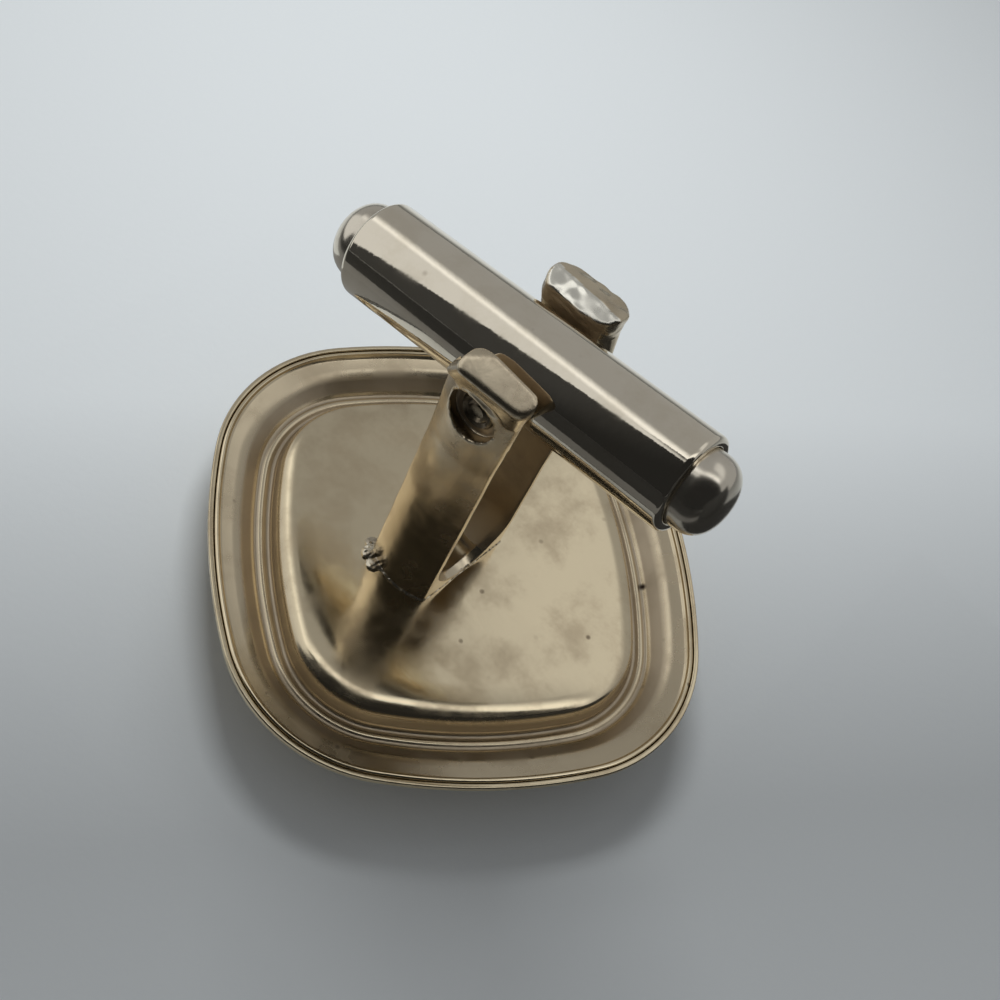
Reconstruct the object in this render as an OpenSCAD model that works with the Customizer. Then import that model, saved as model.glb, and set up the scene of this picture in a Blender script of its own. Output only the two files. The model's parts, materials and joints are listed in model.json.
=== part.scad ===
// Swivel-bar cufflink with a cushion-shaped face.
// The face lies on the table, +Z runs up the post, +X runs along the toggle bar
// and +Y runs along the pivot pin. The origin is on the table under the middle of the face.

/* [Face] */
// Width of the face between the middles of opposite sides
face_w = 22; // [20:0.5:24]
// Radius of the bulge of each side
side_r = 26.3; // [23:0.1:32]
// Radius of the rounded corners
corner_r = 7.2; // [6.4:0.1:8]
// Turn of the face against the toggle bar, in degrees
face_turn = -38.1; // [-45:0.1:45]
// Height of the rim over the table
rim_h = 3.2; // [2.9:0.1:4]
// Straight part of the shell's edge, below the rim
lip_h = 0.25; // [0.1:0.05:0.6]
// Thickness of the shell's edge
lip_t = 0.22; // [0.16:0.01:0.3]
// Sheet thickness of the front shell
shell_t = 0.3; // [0.2:0.01:0.4]
// Width of the domed band between the rim and the flat of the front
front_run = 5.4; // [4.8:0.1:6]
// Power of the dome curve, where more makes the edge steeper
front_power = 2.2; // [1.8:0.1:2.6]

/* [Back plate] */
// Gap between the shell's edge and the back plate's edge
seam = 0.07; // [0.03:0.01:0.12]
// Thickness of the back plate's turned-up edge
edge_t = 0.18; // [0.12:0.01:0.25]
// Sheet thickness of the back plate
plate_t = 0.25; // [0.18:0.01:0.35]
// Step from the rim down to the flange
flange_step = 0.2; // [0.12:0.01:0.3]
// Inset of the flange's inner end from the outline
flange_in = 1.35; // [1.2:0.05:1.5]
// Depth of the flange's inner end below the rim
flange_drop = 0.4; // [0.3:0.05:0.5]
// Inset of the groove outside the bead
groove_in = 2.12; // [1.95:0.01:2.15]
// Depth of both grooves below the rim
groove_drop = 1.2; // [1:0.05:1.3]
// Radius of the bead
bead_r = 0.2; // [0.15:0.01:0.25]
// Inset of the bead's crest from the outline
bead_in = 2.36; // [2.33:0.01:2.5]
// Depth of the bead's crest below the rim
bead_drop = 1.04; // [0.8:0.01:1.1]
// Inset of the foot of the plateau's wall
wall_in = 2.74; // [2.7:0.01:2.9]
// Inset of the top of the plateau's wall
shoulder_in = 3.05; // [3:0.01:3.3]
// Radius of the plateau's shoulder
shoulder_r = 0.45; // [0.3:0.05:0.7]
// Height of the plateau's edge over the rim
plateau_rise = 0; // [-0.1:0.05:0.3]
// Crown of the plateau over its edge
crown = 0.08; // [0.04:0.01:0.2]

/* [Post] */
// Place of the post along the toggle bar
post_x = -0.8; // [-1.5:0.05:1.5]
// Place of the post along the pivot pin
post_y = -0.75; // [-1:0.05:1]
// Radius of the post's round outside
post_r = 2.8; // [2.7:0.05:3]
// Width of the legs
leg_w = 3.2; // [2.8:0.1:3.4]
// Width of the slot between the legs
slot_w = 4.3; // [4.26:0.01:4.4]
// Metal left under the round bottom of the slot
floor_t = 0.3; // [0.2:0.05:0.8]
// Bevel along the bottom of the slot
slot_bevel = 0.35; // [0.1:0.05:0.5]
// Height of the pivot axis over the foot of the post
pivot_h = 12.65; // [12:0.05:14]
// Length over which a leg changes from round to flat, below the pivot
leg_change = 2.6; // [2:0.1:4]
// Width of a leg at its flat top
leg_top_w = 3.5; // [3.3:0.05:3.6]
// Distance of a leg's outside from the post's middle at the pivot
leg_out = 3.05; // [3:0.05:3.2]

/* [Heads] */
// Length of a head along the bar
head_l = 3.6; // [3.4:0.1:4]
// Distance of a head's outside from the post's middle
head_out = 3.65; // [3.5:0.05:4]
// Height of a head's top over the pivot axis
head_top = 2.7; // [2.5:0.05:3]
// Height of a head
head_h = 0.9; // [0.7:0.05:1.1]
// Corner radius of a head seen from above
head_r = 0.6; // [0.4:0.05:0.65]
// Rounding of a head's top edge
head_edge = 0.25; // [0.15:0.05:0.35]
// How far the heads sit off the legs' middle, each its own way
head_skew = 0.2; // [0:0.05:0.3]

/* [Pivot] */
// Radius of the pivot pin where it turns in the bar
pin_r = 0.55; // [0.5:0.01:0.6]
// Gap round the pin in the bar's holes
pin_gap = 0.04; // [0.02:0.01:0.08]
// Width across the flats of the pin's squared middle
pin_square = 0.84; // [0.76:0.01:0.9]
// Radius of the round recess in each leg
recess_r = 1.1; // [1:0.05:1.3]
// Depth of the recess below the leg's outside
recess_depth = 0.65; // [0.3:0.05:0.7]
// Radius of the pin's riveted end
rivet_r = 0.8; // [0.7:0.05:0.9]
// Height of the pin's riveted end
rivet_h = 0.18; // [0.1:0.02:0.25]

/* [Toggle bar] */
// Radius of the tube
tube_r = 2.02; // [1.95:0.01:2.06]
// Wall of the tube
tube_wall = 0.4; // [0.3:0.02:0.5]
// Length of the tube
tube_l = 15.7; // [14.5:0.1:17]
// Rounding of the tube's ends
tube_edge = 0.25; // [0.1:0.05:0.3]
// Distance of the tube's axis from the pivot axis
bar_offset = 0.98; // [0.9:0.02:1.05]
// Tilt of the bar at rest, with its +X end raised, in degrees
bar_tilt = 11.8; // [0:0.1:20]
// How far an end plug stands out of the tube
plug_out = 1.45; // [1.2:0.05:1.7]
// Straight part of an end plug outside the tube
plug_collar = 0.25; // [0.1:0.05:0.4]
// Length of an end plug inside the tube
plug_in = 2; // [1.5:0.1:2.2]

/* [Spring] */
// Thickness of the leaf spring
spring_t = 0.18; // [0.12:0.01:0.22]
// Width of the leaf spring
spring_w = 1.9; // [1.5:0.1:2]
// Room between each end of the leaf spring and the plug
spring_room = 0.55; // [0.3:0.05:0.8]
// Gap that the spring keeps from the pin and the tube in the model
spring_gap = 0.03; // [0.02:0.01:0.05]

/* [Solder] */
// Width of the solder bead round the foot
solder_w = 0.25; // [0.2:0.05:0.6]
// Height of the solder bead
solder_h = 0.2; // [0.15:0.05:0.4]
// Radius of the drop of solder beside the foot
drop_r = 0.3; // [0.25:0.05:0.5]

/* [Hidden] */
$fn = 64;
// Overrun of every cut past the faces that it opens
over = 0.5;

// Steps along the arcs of the outline and along the profiles
corner_steps = 12;
side_steps = 4;
front_steps = 7;
bead_steps = 6;
shoulder_steps = 5;

// Outline of the face: four bulged sides and four round corners, all tangent
side_back = side_r - face_w / 2;
corner_c = (sqrt(2 * pow(side_r - corner_r, 2) - pow(side_back, 2)) - side_back) / 2;
corner_a = atan2(corner_c, corner_c + side_back);

// One point of the outline and its outward direction, as [x, y, dx, dy]
function side_point(a) = [side_r * cos(a) - side_back, side_r * sin(a), cos(a), sin(a)];
function corner_point(a) = [corner_c + corner_r * cos(a), corner_c + corner_r * sin(a), cos(a), sin(a)];
function turned(q, a) = [q[0] * cos(a) - q[1] * sin(a), q[0] * sin(a) + q[1] * cos(a),
                         q[2] * cos(a) - q[3] * sin(a), q[2] * sin(a) + q[3] * cos(a)];
quarter = concat(
    [for (i = [0 : side_steps - 1]) side_point(corner_a * (2 * i / side_steps - 1))],
    [for (i = [0 : corner_steps - 1]) corner_point(corner_a + (90 - 2 * corner_a) * i / corner_steps)]);
outline = [for (k = [0 : 3]) for (q = quarter) turned(q, 90 * k + face_turn)];
ring_n = len(outline);

// A ring of points that lies inset from the outline at a height, drawn in by a share
function ring(inset, z, share) = [for (q = outline)
    [share * (q[0] - inset * q[2]), share * (q[1] - inset * q[3]), z]];

// A closed sheet from a list of [inset, height, share], from its top middle round to its underside
module ring_loft(stations) {
    last = len(stations) - 1;
    points = [for (s = stations) each ring(s[0], s[1], s[2])];
    skin = [for (k = [0 : last - 1]) for (i = [0 : ring_n - 1])
        let (j = (i + 1) % ring_n)
        each [[k * ring_n + i, k * ring_n + j, (k + 1) * ring_n + j],
              [k * ring_n + i, (k + 1) * ring_n + j, (k + 1) * ring_n + i]]];
    top = [for (i = [ring_n - 1 : -1 : 0]) i];
    under = [for (i = [0 : ring_n - 1]) last * ring_n + i];
    polyhedron(points, concat([top], skin, [under]), convexity = 6);
}

// Front shell: outer curve, and the inner curve one sheet thickness inside it
dome_h = rim_h - lip_h;
function front_slope(s) = dome_h * front_power * pow(1 - s, front_power - 1) / front_run;
function front_out(s) = [front_run * s, dome_h * pow(1 - s, front_power)];
function front_in(s) = front_out(s) + shell_t * [front_slope(s), 1] / norm([front_slope(s), 1]);
front_share = [for (i = [0 : front_steps]) i / front_steps];
inner_curve = [for (s = front_share) front_in(s)];
inner_table = [for (i = [front_steps : -1 : 0]) [inner_curve[i][1], inner_curve[i][0]]];

// Back plate: heights of its features
flange_z = rim_h - flange_drop;
groove_z = rim_h - groove_drop;
bead_z = rim_h - bead_drop;
plateau_z = rim_h + plateau_rise;
seat_z = plateau_z + crown;
edge_in = lip_t + seam;
step_z = rim_h - flange_step;
// Shares of the plateau at which its crown is drawn, from the flat middle to the edge
crown_shares = [0.62, 0.82, 1];

function seat_in(z) = lookup(z, inner_table) + seam;
plateau_in = shoulder_in + shoulder_r;

plate_top = concat(
    [for (s = crown_shares) [plateau_in, plateau_z + crown * (1 - pow((s - crown_shares[0])
        / (1 - crown_shares[0]), 2)), s]],
    [for (i = [1 : shoulder_steps]) let (a = 90 * i / shoulder_steps)
        [plateau_in - shoulder_r * sin(a), plateau_z - shoulder_r * (1 - cos(a)), 1]],
    [[wall_in, groove_z + plate_t / 4, 1]],
    [[bead_in + bead_r, groove_z, 1]],
    [for (i = [1 : bead_steps - 1]) let (a = 180 * i / bead_steps)
        [bead_in + bead_r * cos(a), groove_z + (bead_z - groove_z) * sin(a), 1]],
    [[groove_in + (bead_in - bead_r - groove_in) / 2, groove_z, 1]],
    [[groove_in - plate_t / 2, groove_z + plate_t / 4, 1]],
    [[flange_in + plate_t / 2, flange_z - plate_t / 4, 1]],
    [[flange_in - plate_t / 2, flange_z + plate_t / 8, 1]],
    [[edge_in + edge_t + plate_t / 2, step_z, 1]],
    [[edge_in + edge_t, step_z + plate_t / 4, 1]],
    [[edge_in + edge_t, rim_h, 1]],
    [[edge_in, rim_h, 1]]);
plate_under = [
    [max(edge_in, seat_in(step_z)), step_z, 1],
    [seat_in(step_z - plate_t), step_z - plate_t, 1],
    [flange_in - plate_t / 4, flange_z - plate_t, 1],
    [groove_in - plate_t, groove_z - plate_t, 1],
    [wall_in + plate_t / 2, groove_z - plate_t, 1],
    [shoulder_in + plate_t, plateau_z - shoulder_r - plate_t / 2, 1],
    [plateau_in, plateau_z - plate_t, 1],
    [plateau_in, seat_z - plate_t, crown_shares[0]]];

// Post, legs and slot
pivot_z = seat_z + pivot_h;
leg_in = slot_w / 2;
slot_axis_h = floor_t + leg_in;
recess_floor = leg_out - recess_depth;
leg_low_h = pivot_h - leg_change;
leg_high_h = pivot_h + recess_r;
head_low_h = pivot_h + head_top - head_h;
// Height of the crown of a leg's flat top over its sides, seen from above
leg_crown = leg_out - leg_in - plate_t;
leg_top_r = (pow(leg_top_w / 2, 2) + pow(leg_crown, 2)) / (2 * leg_crown);
slice = floor_t / 10;
blend_fn = 32;

// Toggle bar
plug_r = tube_r - tube_wall;
tube_end = tube_l / 2;

// Spring: a bow whose middle lies on the pin's flat and whose ends reach the tube's far wall
spring_l = tube_l - 2 * (plug_in + spring_room);
spring_low = pin_square / 2 + spring_gap;
spring_high = bar_offset + sqrt(pow(plug_r, 2) - pow(spring_w / 2, 2)) - spring_gap;
spring_rise = spring_high - spring_low - spring_t;
spring_r = (pow(spring_l / 2, 2) + pow(spring_rise, 2)) / (2 * spring_rise);

module at_foot() {
    translate([post_x, post_y, seat_z]) children();
}

module at_pivot() {
    translate([post_x, post_y, pivot_z]) rotate([0, -bar_tilt, 0]) children();
}

// Stamped front of the face, domed towards its flat middle
module face_shell() {
    color("#b8ae9c") ring_loft(concat(
        [for (i = [front_steps : -1 : 0]) [inner_curve[i][0], inner_curve[i][1], 1]],
        [[lip_t, rim_h, 1]],
        [[0, rim_h, 1]],
        [for (s = front_share) [front_out(s)[0], front_out(s)[1], 1]]));
}

// Stamped tray that closes the shell: turned-up edge, flange, bead, groove and plateau
module back_plate() {
    color("#c2b391") ring_loft(concat(plate_top, plate_under));
}

// Outline of the post's foot: a round bar with two flats
module foot_outline(grow) {
    intersection() {
        circle(r = post_r + grow);
        square([leg_w + 2 * grow, 2 * (post_r + grow)], center = true);
    }
}

// Section of a leg where it is round like the foot, kept outside the slot
module leg_section() {
    intersection() {
        circle(r = post_r, $fn = blend_fn);
        translate([-leg_w / 2, leg_in]) square([leg_w, post_r]);
    }
}

// Section of a leg at its flatter top
module leg_top_section() {
    intersection() {
        translate([0, leg_out - leg_top_r]) circle(r = leg_top_r, $fn = blend_fn);
        translate([-leg_top_w / 2, leg_in]) square([leg_top_w, leg_out]);
    }
}

// Outline of a head seen from above, with its corners moved in
module head_outline(inset) {
    x = head_l / 2 - head_r;
    for (px = [-x, x], py = [leg_in + head_r, head_out - head_r])
        translate([px, py]) circle(r = head_r - inset, $fn = blend_fn);
}

// Upper half of a leg with its head, drawn for the +Y side
module leg_top() {
    hull() {
        translate([0, 0, leg_low_h]) linear_extrude(slice) leg_section();
        translate([0, 0, leg_high_h]) linear_extrude(slice) leg_top_section();
    }
    hull() {
        translate([0, 0, leg_high_h]) linear_extrude(slice) leg_top_section();
        translate([-head_skew, 0, head_low_h]) linear_extrude(slice) head_outline(0);
    }
    translate([-head_skew, 0, head_low_h]) hull() {
        linear_extrude(head_h - head_edge) head_outline(0);
        translate([0, 0, head_h - head_edge / 3 - slice])
            linear_extrude(slice) head_outline(head_edge / 3);
        translate([0, 0, head_h - slice]) linear_extrude(slice) head_outline(head_edge);
    }
}

// Slot between the legs, with its round bottom, running along the bar
module slot_cut() {
    rotate([90, 0, 90]) {
        linear_extrude(2 * head_l, center = true) {
            translate([0, slot_axis_h]) circle(r = leg_in);
            translate([-leg_in, slot_axis_h]) square([slot_w, pivot_h + head_top]);
        }
        for (flip = [0, 1]) mirror([0, 0, flip])
            translate([0, slot_axis_h, leg_w / 2 - slot_bevel])
                cylinder(r1 = leg_in, r2 = leg_in + slot_bevel / 2, h = slot_bevel + over / 10);
    }
}

// One-piece post: round foot with two flats, two legs and two thick heads
module post() {
    color("#a8997a") at_foot() difference() {
        union() {
            linear_extrude(leg_low_h + slice) foot_outline(0);
            for (side = [0, 180]) rotate([0, 0, side]) leg_top();
        }
        slot_cut();
        translate([0, 0, pivot_h]) rotate([90, 0, 0])
            cylinder(r = pin_r, h = 2 * head_out + 2 * over, center = true);
        for (side = [0, 180]) rotate([0, 0, side])
            translate([0, recess_floor, pivot_h]) rotate([-90, 0, 0])
                cylinder(r = recess_r, h = head_out);
    }
}

// Solder run round the foot, with one drop beside the near leg
module solder_fillet() {
    color("#8f8468") at_foot() difference() {
        union() {
            intersection() {
                cylinder(r1 = post_r + solder_w, r2 = post_r + solder_w / 5, h = solder_h);
                translate([0, 0, solder_h / 2])
                    cube([leg_w + solder_w, 2 * (post_r + solder_w), solder_h], center = true);
            }
            intersection() {
                translate([-leg_w / 2 - drop_r / 2, -post_r + drop_r, 0]) sphere(r = drop_r);
                translate([0, 0, drop_r]) cube([2 * post_r + leg_w, 4 * post_r, 2 * drop_r], center = true);
            }
        }
        translate([0, 0, -over]) linear_extrude(drop_r + 2 * over) foot_outline(0);
    }
}

// Rivet on which the bar turns: round ends, and a squared middle that the spring presses on
module pivot_pin() {
    bearing = sqrt(pow(plug_r, 2) - pow(bar_offset, 2)) - pin_gap;
    color("#6e6450") at_pivot() rotate([90, 0, 0]) difference() {
        union() {
            cylinder(r = pin_r, h = 2 * recess_floor, center = true);
            for (flip = [0, 1]) mirror([0, 0, flip])
                translate([0, 0, recess_floor]) cylinder(r1 = rivet_r, r2 = rivet_r / 2, h = rivet_h);
        }
        for (a = [0 : 90 : 270]) rotate([0, 0, a])
            translate([pin_square / 2, -pin_r - over, -bearing])
                cube([pin_r, 2 * (pin_r + over), 2 * bearing]);
    }
}

// Tube of the bar, with a hole through both sides for the pin
module toggle_tube() {
    color("#cfc6b2") at_pivot() difference() {
        translate([0, 0, bar_offset]) rotate([0, 90, 0]) rotate_extrude() {
            translate([plug_r, -tube_end]) square([tube_wall - tube_edge, tube_l]);
            translate([plug_r, -tube_end + tube_edge]) square([tube_wall, tube_l - 2 * tube_edge]);
            for (y = [-1, 1]) translate([tube_r - tube_edge, y * (tube_end - tube_edge)])
                circle(r = tube_edge);
        }
        rotate([90, 0, 0]) cylinder(r = pin_r + pin_gap, h = 2 * tube_r + over, center = true);
    }
}

// Turned plug with a domed end, pressed into the +X end of the tube
module end_plug() {
    dome = plug_out - plug_collar;
    dome_r = (pow(plug_r, 2) + pow(dome, 2)) / (2 * dome);
    translate([0, 0, bar_offset]) rotate([0, 90, 0]) {
        translate([0, 0, tube_end - plug_in]) cylinder(r = plug_r, h = plug_in + plug_collar);
        intersection() {
            translate([0, 0, tube_end + plug_out - dome_r]) sphere(r = dome_r);
            translate([0, 0, tube_end + plug_collar]) cylinder(r = plug_r, h = plug_out);
        }
    }
}

module end_plug_left() {
    color("#bdb3a0") at_pivot() mirror([1, 0, 0]) end_plug();
}

module end_plug_right() {
    color("#bdb3a0") at_pivot() end_plug();
}

// Bowed leaf in the tube that presses on the pin's flats and holds the bar at each quarter turn
module toggle_spring() {
    color("#8a8f94") at_pivot() intersection() {
        translate([0, 0, spring_low + spring_r]) rotate([90, 0, 0]) difference() {
            cylinder(r = spring_r, h = spring_w, center = true);
            cylinder(r = spring_r - spring_t, h = spring_w + 2 * over, center = true);
        }
        translate([0, 0, bar_offset])
            cube([spring_l, spring_w + 2 * over, 2 * plug_r], center = true);
    }
}

face_shell();
back_plate();
post();
solder_fillet();
pivot_pin();
toggle_tube();
end_plug_left();
end_plug_right();
toggle_spring();
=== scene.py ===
import json
import math

import bmesh
import bpy
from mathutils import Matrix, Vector, noise


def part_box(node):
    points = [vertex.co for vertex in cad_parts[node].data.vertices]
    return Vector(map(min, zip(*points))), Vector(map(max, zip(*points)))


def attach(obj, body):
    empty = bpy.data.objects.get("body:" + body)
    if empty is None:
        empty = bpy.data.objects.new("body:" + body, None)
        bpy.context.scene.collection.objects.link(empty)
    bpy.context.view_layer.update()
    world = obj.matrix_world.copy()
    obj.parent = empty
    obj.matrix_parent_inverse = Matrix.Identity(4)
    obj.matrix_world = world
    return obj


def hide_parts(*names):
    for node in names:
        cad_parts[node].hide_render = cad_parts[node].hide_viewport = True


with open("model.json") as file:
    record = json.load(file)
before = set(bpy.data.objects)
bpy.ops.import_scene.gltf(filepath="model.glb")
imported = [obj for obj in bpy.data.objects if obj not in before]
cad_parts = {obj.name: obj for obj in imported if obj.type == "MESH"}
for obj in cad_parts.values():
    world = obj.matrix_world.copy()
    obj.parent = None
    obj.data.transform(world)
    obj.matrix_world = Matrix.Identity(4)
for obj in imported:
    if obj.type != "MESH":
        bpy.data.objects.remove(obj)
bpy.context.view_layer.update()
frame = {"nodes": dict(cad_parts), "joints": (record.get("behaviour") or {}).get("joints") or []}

# The camera
# It looks close over the cufflink, which lies on its face with the post upright, and is turned about a
# third of the way to its side, so the bar crosses the picture from upper left to lower right.
mm = 0.001
view_centre = Vector((-0.75, 3.34, 3.2)) * mm
view_distance = 67.475 * mm
view_side = math.radians(19.8017)
view_rise = math.radians(54.4656)
view_roll = math.radians(29.4985)
to_camera = Vector((
    math.sin(view_side) * math.cos(view_rise),
    -math.cos(view_side) * math.cos(view_rise),
    math.sin(view_rise),
))
bpy.ops.object.camera_add(location=view_centre + to_camera * view_distance)
camera = bpy.context.object
camera.name = "close_camera"
camera.data.sensor_width = 36
camera.data.lens = 53.509
camera.data.clip_start = 5 * mm
camera.rotation_mode = "XYZ"
camera.rotation_euler = (math.pi / 2 - view_rise, 0, view_side)
camera.rotation_euler.rotate_axis("Z", view_roll)
bpy.context.scene.camera = camera
bpy.context.scene.view_settings.view_transform = "Standard"


# The table top
# A wide sheet of pale grey satin plastic with a fine pebbled grain. It runs far past the picture.
def new_finish(name):
    """A new material, with its node tree and its shader."""
    finish = bpy.data.materials.new(name)
    finish.use_nodes = True
    return finish, finish.node_tree, finish.node_tree.nodes["Principled BSDF"]


def feed(tree, node, given):
    """Sets each input of a node to a value, or wires a socket to it."""
    for name, value in given.items():
        if isinstance(value, bpy.types.NodeSocket):
            tree.links.new(value, node.inputs[name])
        else:
            node.inputs[name].default_value = value


def add_node(tree, kind, given, **settings):
    """A new node with its settings made and its inputs fed."""
    node = tree.nodes.new(kind)
    for setting, value in settings.items():
        setattr(node, setting, value)
    feed(tree, node, given)
    return node


table_tone = (0.80, 0.83, 0.84, 1)
table_reach = 600 * mm
bpy.ops.object.select_all(action="DESELECT")
bpy.ops.mesh.primitive_circle_add(vertices=96, radius=table_reach, fill_type="NGON")
table = bpy.context.object
table.name = "table_top"
table_finish, tree, plastic = new_finish("table_plastic")
place = add_node(tree, "ShaderNodeTexCoord", {}).outputs["Object"]
pebbles = add_node(tree, "ShaderNodeTexNoise", {"Vector": place, "Scale": 2600, "Detail": 2})
grain = add_node(tree, "ShaderNodeBump", {
    "Height": pebbles.outputs["Fac"], "Strength": 0.22, "Distance": 0.05 * mm,
})
feed(tree, plastic, {
    "Base Color": table_tone, "Roughness": 0.62, "Specular IOR Level": 0.25,
    "Normal": grain.outputs["Normal"],
})
table.data.materials.append(table_finish)

# The light of the room
# A bright strip of ceiling shows between a dark screen behind the camera and the grey far side of the room.
# One soft lamp hangs low on the far left. It is kept out of the metal, and the table darkens away from it.
lamp_place = Vector((-34, 27, 87)) * mm
lamp_size = 45 * mm
lamp_glow = 9.6
bpy.ops.object.light_add(type="AREA", location=lamp_place)
lamp = bpy.context.object
lamp.name = "table_lamp"
lamp.rotation_euler = lamp_place.to_track_quat("Z", "Y").to_euler()
lamp.data.size = lamp_size
lamp.data.energy = lamp_glow * math.pi * lamp_size ** 2
lamp.data.color = (0.96, 0.985, 1)
lamp.visible_glossy = False

# A narrow card between the lamp and the near side throws a wide soft shadow.
card_place = Vector((-5.4, 8, 40)) * mm
card_turn = math.radians(53.9)
card_mm = (220, 12.5, 1)
bpy.ops.object.select_all(action="DESELECT")
bpy.ops.mesh.primitive_plane_add(size=mm, location=card_place, rotation=(0, 0, card_turn))
shade_card = bpy.context.object
shade_card.name = "shade_card"
shade_card.scale = card_mm
shade_card.visible_camera = False
shade_card.visible_diffuse = False
shade_card.visible_glossy = False

# Dark cloth and grey cards lie on the table all round, out of the picture, and a dark screen stands on the
# right. Only the metal sees them.
for name, left, right, front, back, tall, tone in (
    ("near_cloth", -210, 290, -590, -29, 2, 0.05),
    ("near_card", -210, 290, -29, -17, 2, 0.3),
    ("left_card", -20, -12.5, -17, 14, 2, 0.28),
    ("right_cloth", 14, 40, -17, 22, 2, 0.06),
    ("right_screen", 40, 290, -17, 22, 30, 0.05),
):
    bpy.ops.object.select_all(action="DESELECT")
    middle = Vector(((left + right) / 2, (front + back) / 2, tall / 2)) * mm
    size = Vector((right - left, back - front, tall)) * mm
    bpy.ops.mesh.primitive_cube_add(size=1, location=middle, scale=size)
    screen = bpy.context.object
    screen.name = name
    screen_finish, tree, matt = new_finish(name + "_matt")
    feed(tree, matt, {"Base Color": (tone, tone, tone, 1), "Roughness": 0.9})
    screen.data.materials.append(screen_finish)
    screen.visible_camera = False
    screen.visible_diffuse = False
    screen.visible_shadow = False

room = bpy.data.worlds.new("room")
room.use_nodes = True
bpy.context.scene.world = room
sky = room.node_tree
way = add_node(sky, "ShaderNodeTexCoord", {}).outputs["Generated"]


def work_out(tree, operation, *values):
    """What a math node makes of some values or sockets."""
    return add_node(tree, "ShaderNodeMath", dict(enumerate(values)), operation=operation).outputs["Value"]


def past(direction, start, end):
    """1 where the way looked goes past a border square to a direction, 0 before it."""
    along = add_node(sky, "ShaderNodeVectorMath", {0: way, 1: direction}, operation="DOT_PRODUCT")
    border = add_node(sky, "ShaderNodeMapRange", {
        "Value": along.outputs["Value"], "From Min": start, "From Max": end,
    }, interpolation_type="SMOOTHSTEP")
    return border.outputs["Result"]


def both(first, second):
    """1 where both masks are 1."""
    return work_out(sky, "MULTIPLY", first, second)


def lit(mask, below, above):
    """A level that goes from one value or socket to another with a mask."""
    return add_node(sky, "ShaderNodeMix", {"Factor": mask, "A": below, "B": above}).outputs["Result"]


# The mirrored room is laid together from the back: the walls, the glow on the far side, the bright strip on
# the left, the ceiling overhead, the dark screen, and the paler rest of the strip in front of it.
up = (0, 0, 1)
walls = lit(past((1, 0, 0), -0.5, -0.05), 0.33, 0.36)
far_glow = both(past((0, 1, 0), 0.34, 0.52), past(up, 0.56, 0.74))
with_glow = lit(both(far_glow, past((0.96, 0.29, 0), -0.12, 0.05)), walls, 0.66)
left_of_screen = past((-0.657, 0.739, -0.149), -0.003, 0.012)
near_left = past((-0.55, -0.835, 0), 0.12, 0.34)
strip = both(both(left_of_screen, near_left), past((1, 0, 0), -0.9, -0.84))
with_strip = lit(both(strip, past(up, 0.5, 0.64)), with_glow, 1.1)
right_of_screen = past((-0.323, 0.947, 0), -0.004, 0.012)
overhead = both(both(right_of_screen, past((0.323, -0.947, 0), -0.27, -0.1)), past(up, 0.62, 0.86))
with_overhead = lit(both(overhead, past((0.75, -0.576, 0.327), -0.05, 0.12)), with_strip, 1.1)
dark_screen = both(past((0.657, -0.739, 0.149), -0.012, 0.003), past((0.323, -0.947, 0), -0.012, 0.004))
screen_level = lit(past((1, 0, 0), -0.5, -0.3), 0.045, 0.018)
with_screen = lit(dark_screen, with_overhead, screen_level)
low_strip = both(past((-0.657, 0.739, -0.149), -0.1, -0.08), past((-0.55, -0.835, 0), 0.3, 0.42))
mirrored = lit(both(low_strip, past((-1, 0, 0), 0.1, 0.2)), with_screen, 0.7)

# Only the metal sees that room. The rest gets a dim even light, and the picture a pale background.
ray = add_node(sky, "ShaderNodeLightPath", {}).outputs
for_objects = lit(ray["Is Glossy Ray"], 0.19, mirrored)
feed(sky, sky.nodes["Background"], {
    "Color": (0.97, 0.985, 1, 1), "Strength": lit(ray["Is Camera Ray"], for_objects, 0.6),
})

# Front shell
# A thin brass sheet stamped into a shallow cushion-shaped dish and plated pale gold. The cufflink's face is
# its underside here. Its edge stands up round the back plate, dressed down to a fine bright line.
face_w = 22 * mm
side_r = 26.3 * mm
corner_r = 7.2 * mm
face_turn = math.radians(-38.1)
rim_h = 3.2 * mm
shell_t = 0.22 * mm
lip_h = 0.25 * mm
front_run = 5.4 * mm
front_power = 2.2
front_steps = 26
front_flat_in = 1.5 * mm
side_back = side_r - face_w / 2
corner_c = (math.sqrt(2 * (side_r - corner_r) ** 2 - side_back ** 2) - side_back) / 2
corner_a = math.atan2(corner_c, corner_c + side_back)
weld = 0.002 * mm


def first_point(name, place):
    """A new piece, in edit mode, that is one picked vertex."""
    bpy.ops.object.select_all(action="DESELECT")
    bpy.ops.mesh.primitive_plane_add(size=mm, location=place)
    bpy.ops.object.transform_apply(location=True, rotation=True, scale=True)
    piece = bpy.context.object
    piece.name = name
    bpy.ops.object.mode_set(mode="EDIT")
    bpy.ops.mesh.select_mode(type="VERT")
    bpy.ops.mesh.select_all(action="SELECT")
    bpy.ops.mesh.merge(type="CENTER")
    return piece


def draw_line(places):
    """Extrudes the picked vertex from place to place."""
    for start, end in zip(places, places[1:]):
        bpy.ops.mesh.extrude_region_move(TRANSFORM_OT_translate={"value": end - start})


def pick(piece, is_in):
    """Selects the vertices whose place passes a test, and the edges and faces between them."""
    shape = bmesh.from_edit_mesh(piece.data)
    for vert in shape.verts:
        vert.select = is_in(vert.co)
    shape.select_flush_mode()
    bmesh.update_edit_mesh(piece.data)


def close_seams(piece):
    """Merges what lies on top of itself and turns all faces outwards."""
    bpy.ops.mesh.select_all(action="SELECT")
    bpy.ops.mesh.remove_doubles(threshold=weld)
    bpy.ops.mesh.normals_make_consistent(inside=False)


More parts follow.
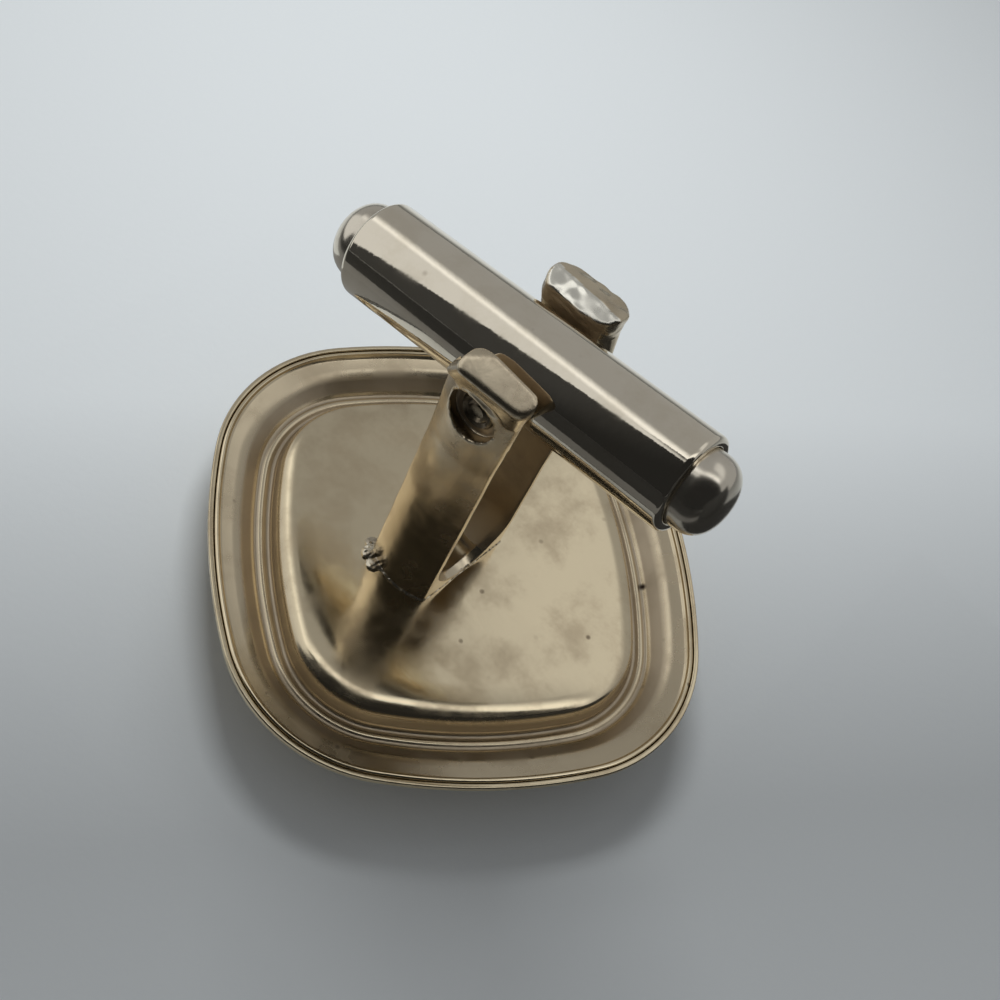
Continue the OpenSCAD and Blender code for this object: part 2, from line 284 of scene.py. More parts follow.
def face_way(way):
    """Turns the faces of an open sheet so that its middle looks along a direction."""
    bpy.ops.mesh.select_all(action="SELECT")
    bpy.ops.mesh.normals_make_consistent(inside=False)
    shape = bmesh.from_edit_mesh(bpy.context.object.data)
    middle = min(shape.faces, key=lambda one: one.calc_center_median().xy.length)
    middle.normal_update()
    if middle.normal.dot(way) < 0:
        bpy.ops.mesh.flip_normals()


def sweep_round_face(side_steps, corner_steps):
    """Spins the picked line, drawn over the middle of the +X side, along the four sides and corners."""
    for quarter in range(4):
        for turn, centre, angle, steps in (
            (quarter, (-side_back, 0), corner_a, side_steps),
            (quarter, (corner_c, corner_c), math.pi / 2 - 2 * corner_a, corner_steps),
            (quarter + 1, (-side_back, 0), corner_a, side_steps),
        ):
            way = turn * math.pi / 2
            x = centre[0] * math.cos(way) - centre[1] * math.sin(way)
            y = centre[0] * math.sin(way) + centre[1] * math.cos(way)
            bpy.ops.mesh.spin(steps=steps, angle=angle, center=(x, y, 0), axis=(0, 0, -1))


def run_modifier(piece, kind, **settings):
    """Adds a modifier with its settings and applies it."""
    step = piece.modifiers.new(kind.lower(), kind)
    for setting, value in settings.items():
        setattr(step, setting, value)
    bpy.context.view_layer.objects.active = piece
    bpy.ops.object.modifier_apply(modifier=step.name)


def ease_edges(piece, width, sharp_degrees=50, segments=3):
    """Rounds the edges that are sharper than an angle."""
    run_modifier(
        piece, "BEVEL", width=width, segments=segments,
        limit_method="ANGLE", angle_limit=math.radians(sharp_degrees),
    )


def turn_in_place(angle, axis, centre):
    """Turns what is picked. Without a window the operator turns the other way, so the angle is reversed."""
    bpy.ops.transform.rotate(value=-angle, orient_axis=axis, center_override=centre)


def settle(piece, finish, body, node):
    """Gives a shaped piece its finish, and puts it in the frame in place of its plain solid."""
    bpy.ops.object.mode_set(mode="OBJECT")
    bpy.ops.object.select_all(action="DESELECT")
    piece.select_set(True)
    bpy.context.view_layer.objects.active = piece
    bpy.ops.object.shade_smooth_by_angle(angle=math.radians(40))
    piece.data.materials.clear()
    piece.data.materials.append(finish)
    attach(piece, body)
    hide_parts(node)


def blend(tree, share, below, above):
    """A color that goes from one color or socket to another with a share."""
    mix = add_node(tree, "ShaderNodeMix", {"Factor": share, "A": below, "B": above}, data_type="RGBA")
    return mix.outputs["Result"]


def wear_group():
    """Node group: plating that is rubbed and tarnished in patches, smudged, and marked with tiny pits."""
    group = bpy.data.node_groups.new("worn_plating", "ShaderNodeTree")
    for name, kind, value in (
        ("Place", "NodeSocketVector", None),
        ("Plating", "NodeSocketColor", (0.7, 0.6, 0.4, 1)),
        ("Tarnish", "NodeSocketColor", (0.4, 0.3, 0.2, 1)),
        ("Tarnish Share", "NodeSocketFloat", 0.3),
        ("Patch Size", "NodeSocketFloat", 300.0),
        ("Polish", "NodeSocketFloat", 0.2),
        ("Smudges", "NodeSocketFloat", 0.1),
        ("Pits", "NodeSocketFloat", 0.2),
    ):
        socket = group.interface.new_socket(name=name, in_out="INPUT", socket_type=kind)
        if value is not None:
            socket.default_value = value
    for name, kind in (
        ("Color", "NodeSocketColor"),
        ("Roughness", "NodeSocketFloat"),
        ("Height", "NodeSocketFloat"),
    ):
        group.interface.new_socket(name=name, in_out="OUTPUT", socket_type=kind)
    given = add_node(group, "NodeGroupInput", {}).outputs

    patches = add_node(group, "ShaderNodeTexNoise", {
        "Vector": given["Place"], "Scale": given["Patch Size"], "Detail": 5, "Roughness": 0.62,
    })
    patch_edge = add_node(group, "ShaderNodeMapRange", {
        "Value": patches.outputs["Fac"], "From Min": 0.42, "From Max": 0.68,
    }, interpolation_type="SMOOTHSTEP")
    patch_share = work_out(group, "MULTIPLY", patch_edge.outputs["Result"], given["Tarnish Share"])
    toned = blend(group, patch_share, given["Plating"], given["Tarnish"])

    cells = add_node(group, "ShaderNodeTexVoronoi", {"Vector": given["Place"], "Scale": 900, "Randomness": 1})
    spot = add_node(group, "ShaderNodeMapRange", {
        "Value": cells.outputs["Distance"], "From Min": 0.05, "From Max": 0.13, "To Min": 1, "To Max": 0,
    })
    cell_tone = add_node(group, "ShaderNodeSeparateColor", {"Color": cells.outputs["Color"]})
    chosen = add_node(group, "ShaderNodeMapRange", {
        "Value": cell_tone.outputs["Red"], "From Min": 0.55, "From Max": 0.95,
    })
    pit_here = work_out(group, "MULTIPLY", spot.outputs["Result"], chosen.outputs["Result"])
    pit_mask = work_out(group, "MULTIPLY", pit_here, given["Pits"])

    smears = add_node(group, "ShaderNodeTexNoise", {
        "Vector": given["Place"], "Scale": 700, "Detail": 4, "Distortion": 0.6,
    }).outputs["Fac"]
    smear_part = work_out(group, "MULTIPLY", smears, given["Smudges"])
    polish = work_out(group, "ADD", given["Polish"], smear_part)
    add_node(group, "NodeGroupOutput", {
        "Color": blend(group, pit_mask, toned, (0.12, 0.08, 0.05, 1)),
        "Roughness": work_out(group, "MULTIPLY_ADD", patch_share, 0.25, polish),
        "Height": work_out(group, "SUBTRACT", smears, pit_mask),
    })
    return group


worn_plating = wear_group()


def plate_metal(name, plating, tarnish, share, patch, polish, smudges, pits, waviness):
    """A metal finish made of the worn plating and a slight waviness of the sheet."""
    finish, tree, metal = new_finish(name)
    place = add_node(tree, "ShaderNodeTexCoord", {}, name="place").outputs["Object"]
    wear = add_node(tree, "ShaderNodeGroup", {
        "Place": place, "Plating": (*plating, 1), "Tarnish": (*tarnish, 1), "Tarnish Share": share,
        "Patch Size": patch, "Polish": polish, "Smudges": smudges, "Pits": pits,
    }, node_tree=worn_plating, name="wear").outputs
    waves = add_node(tree, "ShaderNodeBump", {
        "Height": wear["Height"], "Strength": 1, "Distance": waviness,
    }, name="waves")
    feed(tree, metal, {
        "Metallic": 1, "Base Color": wear["Color"], "Roughness": wear["Roughness"],
        "Normal": waves.outputs["Normal"],
    })
    return finish


def front_place(share):
    """A place on the outer curve of the shell, from its edge at 0 to the flat of the face at 1."""
    return Vector((face_w / 2 - front_run * share, 0, (rim_h - lip_h) * (1 - share) ** front_power))


front_curve = [front_place(step / front_steps) for step in range(front_steps, -1, -1)]
front_curve.append(Vector((face_w / 2, 0, rim_h)))
shell = first_point("stamped_front_shell", front_curve[0])
draw_line(front_curve)
bpy.ops.mesh.select_all(action="SELECT")
sweep_round_face(8, 18)
close_seams(shell)
pick(shell, lambda at: at.z < weld)
bpy.ops.mesh.edge_face_add()
bpy.ops.mesh.inset(thickness=front_flat_in)
face_way(Vector((0, 0, -1)))
turn_in_place(face_turn, "Z", (0, 0, 0))
bpy.ops.object.mode_set(mode="OBJECT")
run_modifier(shell, "SOLIDIFY", thickness=shell_t, offset=-1, use_even_offset=True)
ease_edges(shell, 0.06 * mm)
pale_gold = (0.80, 0.68, 0.47)
shell_gold = plate_metal(
    "shell_gold", pale_gold, (0.52, 0.40, 0.25), share=0.5, patch=420,
    polish=0.1, smudges=0.12, pits=0.4, waviness=0.006 * mm,
)
settle(shell, shell_gold, "link", "face_shell")

# Back plate
# A second thin sheet, pressed to shape in one blow: an edge turned up inside the shell, a sloped flange, a
# groove with a fine bead in it, and a steep wall up to the broad cushion that the post stands on.
plate_t = 0.18 * mm
seam = 0.03 * mm
edge_in = shell_t + seam + plate_t
plateau_reach = 9.2 * mm
crown = 0.08 * mm
crown_steps = 10
crown_run = 0.9


def plate_place(inset_mm, above_rim_mm):
    """A place on the plate's upper side, by its inset from the outline and its height over the rim."""
    return Vector((face_w / 2 - inset_mm * mm, 0, rim_h + above_rim_mm * mm))


# Each bend has its place, the width of its rounding in mm, and the steps of it.
plate_bends = (
    (plate_place(4.3, 0.0), 0.35, 6),
    (plate_place(3.55, -0.06), 0.25, 8),
    (plate_place(3.03, -0.26), 0.18, 7),
    (plate_place(2.77, -1.2), 0.1, 5),
    (plate_place(2.6, -1.2), 0.08, 4),
    (plate_place(2.37, -1.03), 0.14, 7),
    (plate_place(2.13, -1.17), 0.12, 6),
    (plate_place(1.3, -0.42), 0.3, 8),
    (plate_place(0.5, -0.22), 0.12, 5),
)
plate_line = [plate_place(5.2, 0.01)]
plate_line += [place for place, width, steps in plate_bends]
plate_line.append(plate_place(edge_in / mm, 0))
plate = first_point("stamped_back_plate", plate_line[0])
draw_line(plate_line)
for place, width, steps in plate_bends:
    pick(plate, lambda at: (at - place).length < weld)
    bpy.ops.mesh.bevel(offset=width * mm, segments=steps, affect="VERTICES", clamp_overlap=False)
bpy.ops.mesh.select_all(action="SELECT")
sweep_round_face(10, 26)
close_seams(plate)

# The plateau is filled by rings that shrink from its edge, each a little higher, and by a fan in the
# middle.
bpy.ops.mesh.select_all(action="DESELECT")
bpy.ops.mesh.select_non_manifold(
    use_wire=False, use_multi_face=False, use_non_contiguous=False, use_verts=False,
)
shape = bmesh.from_edit_mesh(plate.data)
plateau_ring = {vert.index for vert in shape.verts if vert.select and vert.co.xy.length < plateau_reach}
for vert in shape.verts:
    vert.select = vert.index in plateau_ring
shape.select_flush_mode()
bmesh.update_edit_mesh(plate.data)
for step in range(crown_steps):
    share = 1 - (step + 1) / crown_steps * crown_run
    before = 1 - step / crown_steps * crown_run
    lift = crown * (before ** 2 - share ** 2)
    bpy.ops.mesh.extrude_edges_move(TRANSFORM_OT_translate={"value": (0, 0, lift)})
    bpy.ops.transform.resize(value=(share / before, share / before, 1), center_override=(0, 0, rim_h))
bpy.ops.mesh.edge_face_add()
bpy.ops.mesh.poke()
face_way(Vector((0, 0, 1)))
turn_in_place(face_turn, "Z", (0, 0, 0))
bpy.ops.object.mode_set(mode="OBJECT")
run_modifier(plate, "SOLIDIFY", thickness=plate_t, offset=-1, use_even_offset=False)
ease_edges(plate, 0.05 * mm)
plate_gold = plate_metal(
    "plate_gold", pale_gold, (0.50, 0.39, 0.25), share=0.5, patch=350,
    polish=0.075, smudges=0.09, pits=0.8, waviness=0.006 * mm,
)

# The plate is painted browner and duller the lower it lies below the plateau. This is painted shade in the
# groove, up its two walls and faintly out over the flange, all but the crest of the bead. Each stop of the
# ramp has its height, from 0 at the groove's bottom, and its share of painted shade. A deep pit in the
# plateau's wall is painted in as a near-black spot of shade.
groove_shade_brown = (0.52, 0.43, 0.31, 1)
groove_low = rim_h - 1.2 * mm
groove_high = rim_h - 0.15 * mm
shade_stops = ((0.07, 1), (0.12, 0.2), (0.18, 0.2), (0.24, 1), (0.53, 1), (0.7, 0.45), (0.9, 0.4))
pit_at = Vector((6.3, 6.34, 2.2)) * mm
pit_shade_dark = (0.03, 0.02, 0.015, 1)
tree = plate_gold.node_tree
place = tree.nodes["place"].outputs["Object"]
wear = tree.nodes["wear"].outputs
where = add_node(tree, "ShaderNodeSeparateXYZ", {"Vector": place})
height = add_node(tree, "ShaderNodeMapRange", {
    "Value": where.outputs["Z"], "From Min": groove_low, "From Max": groove_high,
})
ramp = add_node(tree, "ShaderNodeValToRGB", {"Fac": height.outputs["Result"]})
ramp.color_ramp.elements[0].color = (1, 1, 1, 1)
ramp.color_ramp.elements[1].color = (0, 0, 0, 1)
for position, share in shade_stops:
    ramp.color_ramp.elements.new(position).color = (share, share, share, 1)
groove_shade = ramp.outputs["Color"]
# The pit is painted shade: a near-black spot round one place on the wall, with no hole cut.
pit_reach = add_node(tree, "ShaderNodeVectorMath", {0: place, 1: pit_at}, operation="DISTANCE")
in_pit_shade = add_node(tree, "ShaderNodeMapRange", {
    "Value": pit_reach.outputs["Value"], "From Min": 0.24 * mm, "From Max": 0.12 * mm,
})
# Painted shade: the height ramp mixes brown into the groove, its walls and the flange.
groove_shaded = blend(tree, groove_shade, wear["Color"], groove_shade_brown)
feed(tree, tree.nodes["Principled BSDF"], {
    "Base Color": blend(tree, in_pit_shade.outputs["Result"], groove_shaded, pit_shade_dark),
    "Roughness": work_out(tree, "MULTIPLY_ADD", groove_shade, 0.24, wear["Roughness"]),
})
settle(plate, plate_gold, "link", "back_plate")

# Post
# One cast piece: a round foot with two flats, a deep round-bottomed slot that leaves two thin legs, and a
# thick head on each leg. It is soldered upright, a little off the plate's middle, and plated with it.
pivot = Vector(frame["joints"][0]["pos_m"])
post_foot = Vector((pivot.x, pivot.y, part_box("post")[0].z))
post_r = 2.92 * mm
leg_w = 3.3 * mm
leg_round_h = 10.05 * mm
leg_round_z = post_foot.z + leg_round_h
leg_flat_z = pivot.z + 1.1 * mm
leg_top_r = 3.05 * mm
leg_top_w = 3.5 * mm
leg_tip_h = 0.12 * mm
slot_r = 2.15 * mm
slot_axis = post_foot + Vector((0, 0, 2.45)) * mm
slot_h = 20 * mm
slot_straight_w = 2.5 * mm
lip_w = 0.42 * mm
lip_flare = (1, 1.02, 1.07)
recess_r = 1.1 * mm
recess_y = 2.4 * mm
cutter_w = 8 * mm
drill_l = 4 * mm
post_grain = 0.058 * mm


def start_block(name, size, centre):
    """A new box, in edit mode and picked all over."""
    bpy.ops.object.select_all(action="DESELECT")
    bpy.ops.mesh.primitive_cube_add(size=1, location=centre, scale=size)
    bpy.ops.object.transform_apply(location=True, rotation=True, scale=True)
    block = bpy.context.object
    block.name = name
    bpy.ops.object.mode_set(mode="EDIT")
    bpy.ops.mesh.select_mode(type="VERT")
    bpy.ops.mesh.select_all(action="SELECT")
    return block


def start_rod(name, radius, length, centre, axis="Z", sides=96):
    """A new rod along one axis, in edit mode and picked all over."""
    turns = {"X": (0, math.pi / 2, 0), "Y": (math.pi / 2, 0, 0), "Z": (0, 0, 0)}
    bpy.ops.object.select_all(action="DESELECT")
    bpy.ops.mesh.primitive_cylinder_add(
        vertices=sides, radius=radius, depth=length, location=centre, rotation=turns[axis],
    )
    bpy.ops.object.transform_apply(location=True, rotation=True, scale=True)
    rod = bpy.context.object
    rod.name = name
    bpy.ops.object.mode_set(mode="EDIT")
    bpy.ops.mesh.select_mode(type="VERT")
    bpy.ops.mesh.select_all(action="SELECT")
    return rod


def cut_flat(way, reach):
    """Cuts off what lies past a plane of the edited piece, square to a way out from the post's axis."""
    bpy.ops.mesh.select_all(action="SELECT")
    bpy.ops.mesh.bisect(plane_co=post_foot + way * reach, plane_no=way, use_fill=True, clear_outer=True)


def combine(piece, tool, operation):
    """Joins a tool body to a piece or cuts it out, and clears the tool away."""
    bpy.ops.object.mode_set(mode="OBJECT")
    run_modifier(piece, "BOOLEAN", operation=operation, object=tool, solver="EXACT")
    bpy.data.objects.remove(tool)


# The near left corner is filed round, by flats at these angles and reaches from the axis.
post = start_rod("two_legged_post", post_r, leg_round_h, post_foot + Vector((0, 0, leg_round_h / 2)))
for side in (1, -1):
    cut_flat(Vector((side, 0, 0)), leg_w / 2)
for degrees, reach in ((15, 2.19 * mm), (30, 2.57 * mm), (42, 2.8 * mm)):
    cut_flat(Vector((-math.cos(math.radians(degrees)), -math.sin(math.radians(degrees)), 0)), reach)
pick(post, lambda at: at.z > leg_round_z - weld)
bpy.ops.mesh.extrude_region_move(TRANSFORM_OT_translate={"value": (0, 0, leg_flat_z - leg_round_z)})
bpy.ops.transform.resize(
    value=(leg_top_w / leg_w, leg_top_r / post_r, 1), center_override=(pivot.x, pivot.y, leg_flat_z),
)
bpy.ops.mesh.extrude_region_move(TRANSFORM_OT_translate={"value": (0, 0, leg_tip_h)})
bpy.ops.object.mode_set(mode="OBJECT")

# Each head leans out over its leg. The near one is small, slopes outwards and is cut aslant. The far one is
# broad and a little turned, and blows of a hammer left two slopes on it. A head has its side of the pivot,
# where it ends on the left and right, its inner side, its outer side on the left and on the right, the bend
# of its corners, its underside, its turn in degrees, and for each slope a place on it and the way it faces.
heads = (
    ("near_head", -1, (-1.2, 1.95), (2.15, 3.5, 3.1), 0.44, 2.12, 0, (
        ((0, -2.3, 2.72), (0, -0.36, 0.93)),
        ((-0.5, -2.3, 2.72), (-0.26, -0.1, 0.96)),
    )),
    ("far_head", 1, (-2.25, 1.2), (2.1, 4.05, 4.05), 0.95, 1.7, 7, (
        ((0, 3.0, 2.72), (-0.09, -0.3, 0.947)),
        ((0, 2.95, 2.72), (-0.06, 0.3, 0.95)),
    )),
)
head_top_z = pivot.z + 2.84 * mm
neck_x = 1.74 * mm
neck_y = (2.2 * mm, 3.0 * mm)
neck_drop = 1.15 * mm
cutter_mm = Vector((12, 12, 4))
for name, side, (left, right), (inner, outer_left, outer_right), bend, low, turn, slopes in heads:
    head_low_z = pivot.z + low * mm
    centre = pivot + Vector(((left + right) / 2 * mm, side * (inner + outer_left) / 2 * mm, 0))
    centre.z = (head_low_z + head_top_z) / 2
    size = Vector((right - left, outer_left - inner, (head_top_z - head_low_z) / mm)) * mm
    head = start_block(name, size, centre)
    slant = (outer_left - outer_right) * mm
    pick(head, lambda at: at.x > centre.x and side * (at.y - centre.y) > 0)
    bpy.ops.transform.translate(value=(0, -side * slant, 0))
    bpy.ops.mesh.select_all(action="DESELECT")
    bpy.ops.mesh.select_mode(type="EDGE")
    shape = bmesh.from_edit_mesh(head.data)
    for edge in shape.edges:
        edge.select_set(abs(edge.verts[0].co.z - edge.verts[1].co.z) > size.z / 2)
    bmesh.update_edit_mesh(head.data)
    bpy.ops.mesh.bevel(offset=bend * mm, segments=8, affect="EDGES")
    bpy.ops.mesh.select_mode(type="VERT")
    bpy.ops.mesh.select_all(action="SELECT")
    turn_in_place(math.radians(turn), "Z", centre)
    pick(head, lambda at: at.z < head_low_z + weld)
    neck = Vector((pivot.x, pivot.y + side * sum(neck_y) / 2, centre.z))
    bpy.ops.mesh.extrude_region_move(TRANSFORM_OT_translate={"value": (*(neck - centre).xy, -neck_drop)})
    bpy.ops.transform.resize(
        value=(2 * neck_x / size.x, (neck_y[1] - neck_y[0]) / size.y, 1), center_override=neck,
    )
    bpy.ops.mesh.select_all(action="SELECT")
    bpy.ops.mesh.normals_make_consistent(inside=False)
    bpy.ops.object.mode_set(mode="OBJECT")
    for place, slope in slopes:
        outwards = Vector(slope).normalized()
        bpy.ops.mesh.primitive_cube_add(
            size=1, location=pivot + (Vector(place) + cutter_mm.z / 2 * outwards) * mm,
            rotation=outwards.to_track_quat("Z", "Y").to_euler(), scale=cutter_mm * mm,
        )
        bpy.ops.object.transform_apply(location=True, rotation=True, scale=True)
        combine(head, bpy.context.object, "DIFFERENCE")
    bpy.ops.object.select_all(action="DESELECT")
    post.select_set(True)
    head.select_set(True)
    bpy.context.view_layer.objects.active = post
    bpy.ops.object.join()
run_modifier(post, "REMESH", mode="VOXEL", voxel_size=post_grain)
run_modifier(post, "SMOOTH", factor=0.5, iterations=10)

# The slot's round bottom opens into a worn lip on both sides, and the recesses for the pin are drilled.
slot_round = start_rod("slot_round", slot_r, slot_straight_w, slot_axis, "X")
for side in (1, -1):
    pick(slot_round, lambda at: side * (at.x - pivot.x) > slot_straight_w / 2 - weld)
    bpy.ops.mesh.extrude_region_move(TRANSFORM_OT_translate={"value": (side * lip_w, 0, 0)})
    bpy.ops.transform.resize(value=lip_flare, center_override=slot_axis)
    bpy.ops.mesh.extrude_region_move(TRANSFORM_OT_translate={"value": (side * mm, 0, 0)})
combine(post, slot_round, "DIFFERENCE")
slot_middle = slot_axis + Vector((0, 0, slot_h / 2))
slot_long = start_block("slot_long", Vector((cutter_w, 2 * slot_r, slot_h)), slot_middle)
combine(post, slot_long, "DIFFERENCE")
for side in (1, -1):
    recess_at = pivot + Vector((0, side * (recess_y + drill_l / 2), 0))
    recess = start_rod("recess", recess_r, drill_l, recess_at, "Y", 48)
    combine(post, recess, "DIFFERENCE")
run_modifier(post, "REMESH", mode="VOXEL", voxel_size=post_grain, use_smooth_shade=True)
run_modifier(post, "SMOOTH", factor=0.5, iterations=2)


def rough_up(piece, depth_at, grain):
    """Moves each vertex along its normal by a smooth noise, as deep as depth_at says for its place."""
    places = [
        vert.co + vert.normal * depth_at(vert.co) * noise.noise(vert.co / grain)
        for vert in piece.data.vertices
    ]
    piece.data.vertices.foreach_set("co", [number for place in places for number in place])
    piece.data.update()


# The legs are uneven from the casting, and the far head's top is dented by the hammer.
leg_waves = 0.02 * mm
head_waves = 0.008 * mm
hammer_dents = 0.06 * mm
dented_z = head_top_z - 0.8 * mm
rough_up(post, lambda at: leg_waves if at.z < leg_flat_z else head_waves, 1.3 * mm)
rough_up(post, lambda at: hammer_dents if at.z > dented_z and at.y > pivot.y else 0, 0.55 * mm)


def painted_shade(vert):
    """How much painted shade a place gets: most in the recesses and on the heads' inner sides behind the bar,
    less in the slot, none elsewhere.
    """
    at = vert.co - pivot
    faces_in = at.y * vert.normal.y < 0
    behind_bar = at.z > 1.5 * mm and faces_in and abs(vert.normal.y) > 0.75
    in_recess = Vector((at.x, at.z)).length < recess_r - 0.03 * mm
    in_slot = abs(at.y) < slot_r + 0.05 * mm and faces_in and abs(vert.normal.y) > 0.5
    return 0.9 * behind_bar or 0.75 * in_recess or 0.45 * in_slot


def painted_highlight(vert):
    """1 where a highlight is painted on: the far head's inner slope where it faces up, and 0 elsewhere."""
    at = vert.co - pivot
    return float(at.z > 2.2 * mm and at.y > 0 and vert.normal.z > 0.8 and vert.normal.y < 0.02)


for name, share_at in (("painted_shade", painted_shade), ("painted_highlight", painted_highlight)):
    marks = post.data.attributes.new(name, "FLOAT", "POINT")
    marks.data.foreach_set("value", [share_at(vert) for vert in post.data.vertices])
# Painted shade: brown laid into the recesses, the slot and the heads' inner sides behind the bar.
shade_brown = (0.42, 0.32, 0.21, 1)
# Painted highlight: near-white laid on the far head's upward inner slope.
highlight_white = (0.95, 0.91, 0.8, 1)
post_gold = plate_metal(
    "post_gold", (0.76, 0.65, 0.47), (0.44, 0.35, 0.24), share=0.6, patch=420,
    polish=0.1, smudges=0.14, pits=0.3, waviness=0.008 * mm,
)
tree = post_gold.node_tree
wear = tree.nodes["wear"].outputs
shaded = add_node(tree, "ShaderNodeAttribute", {}, attribute_name="painted_shade").outputs["Fac"]
highlit = add_node(tree, "ShaderNodeAttribute", {}, attribute_name="painted_highlight").outputs["Fac"]
highlighted = blend(tree, highlit, wear["Color"], highlight_white)
feed(tree, tree.nodes["Principled BSDF"], {
    "Base Color": blend(tree, shaded, highlighted, shade_brown),
    "Roughness": work_out(tree, "MULTIPLY_ADD", shaded, 0.45, wear["Roughness"]),
})
settle(post, post_gold, "link", "post")

# Solder
# Soft silver-grey solder that ran round the foot of the post, thicker on one side, with a bead beside it.
solder_h = 0.22 * mm
solder_w = 0.1 * mm
solder_slope = (0.92, 0.945, 1)
solder = start_rod("solder_run", post_r + solder_w, solder_h, post_foot + Vector((0, 0, 0.09)) * mm)
for side, spread in ((1, 0.04 * mm), (-1, 0.18 * mm)):
    cut_flat(Vector((side, 0, 0)), leg_w / 2 + spread)
pick(solder, lambda at: at.z > post_foot.z + 0.15 * mm)
bpy.ops.transform.resize(value=solder_slope, center_override=post_foot)
bpy.ops.object.mode_set(mode="OBJECT")
drops = (
    ((-1.5, -2.7, 0), 0.38, 0.5),
    ((-1.0, -2.95, 0), 0.36, 0.35),
    ((-1.8, -2.3, 0), 0.3, 0.4),
)
for place, radius, flatness in drops:
    bpy.ops.object.select_all(action="DESELECT")
    bpy.ops.mesh.primitive_uv_sphere_add(
        radius=radius * mm, location=post_foot + Vector(place) * mm, scale=(1, 1, flatness),
    )
    bpy.ops.object.transform_apply(location=True, rotation=True, scale=True)
    combine(solder, bpy.context.object, "UNION")
run_modifier(solder, "REMESH", mode="VOXEL", voxel_size=0.035 * mm, use_smooth_shade=True)
run_modifier(solder, "SMOOTH", factor=0.5, iterations=3)
rough_up(solder, lambda at: 0.05 * mm if at.z > post_foot.z + 0.03 * mm else 0, 0.17 * mm)
solder_grey = plate_metal(
    "solder_grey", (0.78, 0.70, 0.55), (0.2, 0.15, 0.1), share=0.6, patch=1500,
    polish=0.15, smudges=0.2, pits=0.8, waviness=0.02 * mm,
)
settle(solder, solder_grey, "link", "solder_fillet")

# Pivot pin
# A short brass rivet through the legs. Its ends are spread by a punch in the recesses, which leaves a
# raised ring, and its middle is squared so that the spring in the bar can catch it at each quarter turn.
pin_flat = 0.42 * mm
pin_square_half = 1.2 * mm
pin_half = (
    (0.55, 2.38), (0.76, 2.4), (0.76, 2.44), (0.63, 2.6), (0.5, 2.48), (0.4, 2.62), (0.3, 2.46), (0, 2.46),
)
pin_line = [pivot + Vector((out, -along, 0)) * mm for out, along in reversed(pin_half)]
pin_line += [pivot + Vector((out, along, 0)) * mm for out, along in pin_half]
pin = first_point("pivot_rivet", pin_line[0])
draw_line(pin_line)
bpy.ops.mesh.select_all(action="SELECT")
bpy.ops.mesh.spin(steps=48, angle=2 * math.pi, center=pivot, axis=(0, 1, 0))
close_seams(pin)
bpy.ops.object.mode_set(mode="OBJECT")
bar_tilt = math.radians(11.8)
for quarter in range(4):
    flat_cut = start_block("flat_cut", Vector((2 * mm, 2 * pin_square_half, mm)), pivot)
    bpy.ops.transform.translate(value=(0, 0, pin_flat + mm / 2))
    turn_in_place(-bar_tilt + quarter * math.pi / 2, "Y", pivot)
    combine(pin, flat_cut, "DIFFERENCE")
ease_edges(pin, 0.04 * mm, sharp_degrees=40, segments=2)
# The pin's brass is painted dark brown all over: painted shade, for its ends lie deep in the recesses.
pin_brass_shaded = plate_metal(
    "pin_brass_shaded", (0.28, 0.23, 0.16), (0.06, 0.045, 0.03), share=0.9, patch=1200,
    polish=0.18, smudges=0.2, pits=0.3, waviness=0.01 * mm,
)
settle(pin, pin_brass_shaded, "link", "pivot_pin")

# Toggle tube
# A drawn tube, polished to a mirror and plated. Both ends are rolled over slightly, and it is drilled
# across just off its middle line for the pin, so it hangs high on the post.
tube_r = 2.02 * mm
tube_wall = 0.4 * mm
tube_half = 7.85 * mm
rolled_edge = 0.22
inner_edge = 0.08
bar_lift = 0.98 * mm
bore_r = 0.59 * mm
bar_middle = pivot + Vector((0, 0, bar_lift))
end_mm = tube_half / mm
out_mm = tube_r / mm
in_mm = (tube_r - tube_wall) / mm


def bar_place(along_mm, radius_mm):
    """A place in the bar's long section: along its axis from the pin, and out from the axis."""
    return bar_middle + Vector((along_mm, -radius_mm, 0)) * mm


def spin_bar_piece(name, section, steps):
    """Draws half a long section, spins it round the bar's axis and tilts it with the bar."""
    piece = first_point(name, section[0])
    draw_line(section)
    bpy.ops.mesh.select_all(action="SELECT")
    bpy.ops.mesh.spin(steps=steps, angle=2 * math.pi, center=bar_middle, axis=(1, 0, 0))
    close_seams(piece)
    turn_in_place(-bar_tilt, "Y", pivot)
    return piece


def roll_edge(along, radius, bend, start, end, steps=6):
    """Places round one edge of the bar, from one angle to another, in degrees."""
    turns = [math.radians(start + (end - start) * step / steps) for step in range(steps + 1)]
    return [bar_place(along + bend * math.cos(a), radius + bend * math.sin(a)) for a in turns]


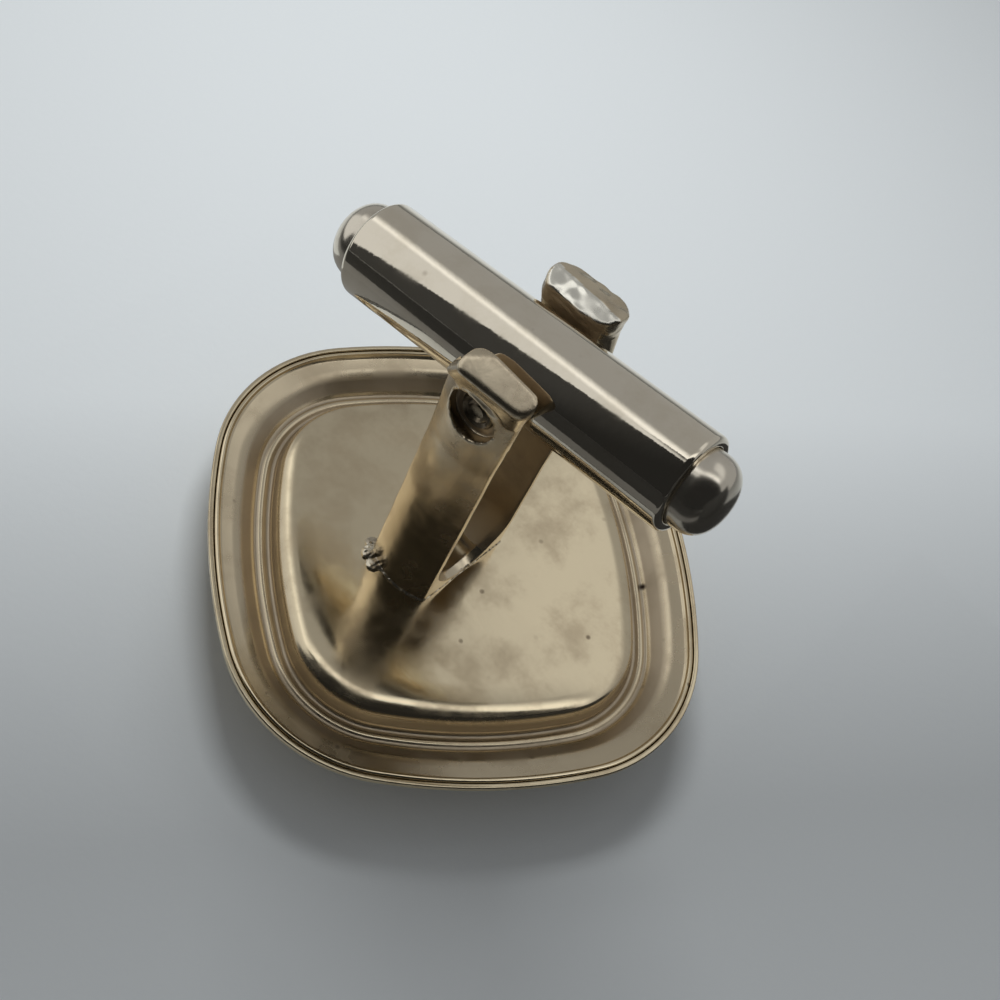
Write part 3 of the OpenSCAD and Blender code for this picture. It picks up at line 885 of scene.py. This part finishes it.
tube_section = roll_edge(end_mm - rolled_edge, out_mm - rolled_edge, rolled_edge, 0, 90)
tube_section += roll_edge(-end_mm + rolled_edge, out_mm - rolled_edge, rolled_edge, 90, 180)
tube_section += roll_edge(-end_mm + inner_edge, in_mm + inner_edge, inner_edge, 180, 270, 3)
tube_section += roll_edge(end_mm - inner_edge, in_mm + inner_edge, inner_edge, 270, 360, 3)
tube_section.append(tube_section[0])
tube = spin_bar_piece("toggle_tube_polished", tube_section, 128)
bpy.ops.object.mode_set(mode="OBJECT")
combine(tube, start_rod("bore", bore_r, 6 * mm, pivot, "Y", 48), "DIFFERENCE")
tube_silver = plate_metal(
    "tube_silver", (0.86, 0.78, 0.64), (0.66, 0.57, 0.42), share=0.3, patch=500,
    polish=0.02, smudges=0.04, pits=0.35, waviness=0.002 * mm,
)
tree = tube_silver.node_tree
polish_marks = add_node(tree, "ShaderNodeTexNoise", {
    "Vector": tree.nodes["place"].outputs["Object"], "Scale": 2800, "Detail": 3,
})
smears = tree.nodes["wear"].outputs["Height"]
marked = work_out(tree, "MULTIPLY_ADD", polish_marks.outputs["Fac"], 1.3, smears)
feed(tree, tree.nodes["waves"], {"Height": marked})
settle(tube, tube_silver, "bar", "toggle_tube")

# End plugs
# Turned bullet-shaped plugs, pressed into the ends of the tube and dulled by wear.
plug_out = 1.45
plug_collar = 0.28
plug_in = 2.0
plug_r_mm = in_mm - 0.02
dome_long = 0.9
dome_round = 0.75
dome_steps = 14
plug_silver = plate_metal(
    "plug_silver", (0.80, 0.73, 0.61), (0.55, 0.48, 0.38), share=0.4, patch=700,
    polish=0.12, smudges=0.08, pits=0.3, waviness=0.004 * mm,
)
for name, side, node in (
    ("end_plug_dome_left", -1, "end_plug_left"),
    ("end_plug_dome_right", 1, "end_plug_right"),
):
    plug_section = [bar_place(side * (end_mm - plug_in), radius) for radius in (0, plug_r_mm)]
    for step in range(dome_steps + 1):
        angle = math.pi / 2 * step / dome_steps
        along = end_mm + plug_collar + (plug_out - plug_collar) * math.sin(angle) ** dome_long
        radius = plug_r_mm * math.cos(angle) ** dome_round if step < dome_steps else 0
        plug_section.append(bar_place(side * along, radius))
    settle(spin_bar_piece(name, plug_section, 96), plug_silver, "bar", node)

# Leaf spring
# A bowed strip of blue-grey spring steel inside the tube, seen only through the pin's hole.
spring_steel = plate_metal(
    "spring_steel", (0.5, 0.52, 0.55), (0.25, 0.22, 0.2), share=0.4, patch=900,
    polish=0.3, smudges=0.2, pits=0.2, waviness=0.01 * mm,
)
leaf = frame["nodes"]["toggle_spring"]
leaf.data.materials.clear()
leaf.data.materials.append(spring_steel)
